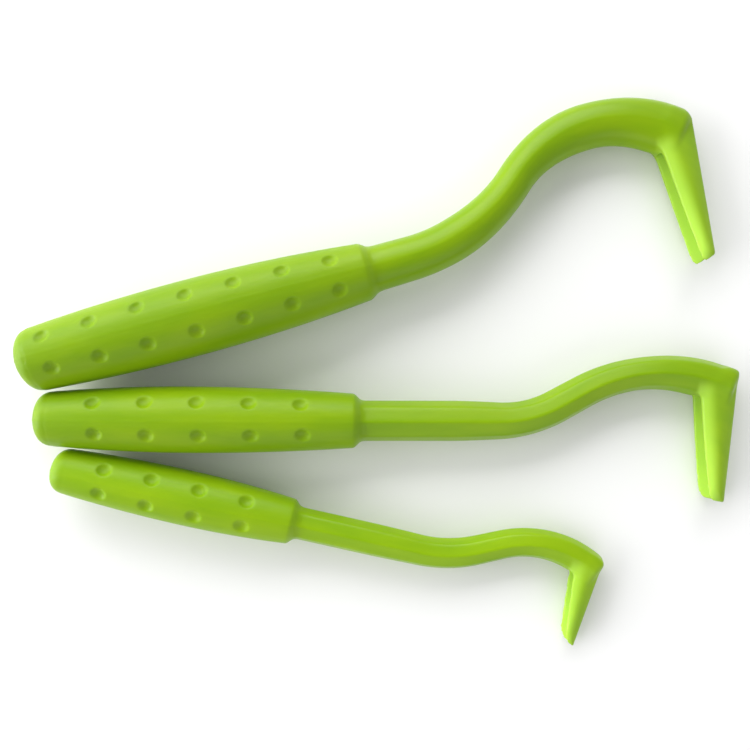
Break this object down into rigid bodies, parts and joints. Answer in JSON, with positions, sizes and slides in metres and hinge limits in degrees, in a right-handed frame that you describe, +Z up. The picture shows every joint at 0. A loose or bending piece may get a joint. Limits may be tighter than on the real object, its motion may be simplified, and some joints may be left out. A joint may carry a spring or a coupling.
{
  "type": "tick removal hook set",
  "caption": "Set of moulded plastic tick hooks: dimpled barrel handle, eight-sided S-bend neck and a turned-down claw split by a V groove.",
  "frame": {"origin": "on the table under the middle of the set", "axes": "+X from the handles to the claws, +Y from the small hook to the large one, +Z up from the table"},
  "size_m": [0.1204, 0.0934, 0.0133],
  "materials": {
    "lime_plastic": "glossy lime-green moulding, a little softer on the dimpled handles"
  },
  "bodies": {
    "large": {"large_hook": "lime_plastic"},
    "medium": {"medium_hook": "lime_plastic"},
    "small": {"small_hook": "lime_plastic"}
  },
  "joints": [
    {"name": "medium_lift", "type": "slide", "parent": "large", "child": "medium", "axis": [0, 0, 1], "range_m": [0, 0.06]},
    {"name": "small_lift", "type": "slide", "parent": "large", "child": "small", "axis": [0, 0, 1], "range_m": [0, 0.06]}
  ]
}
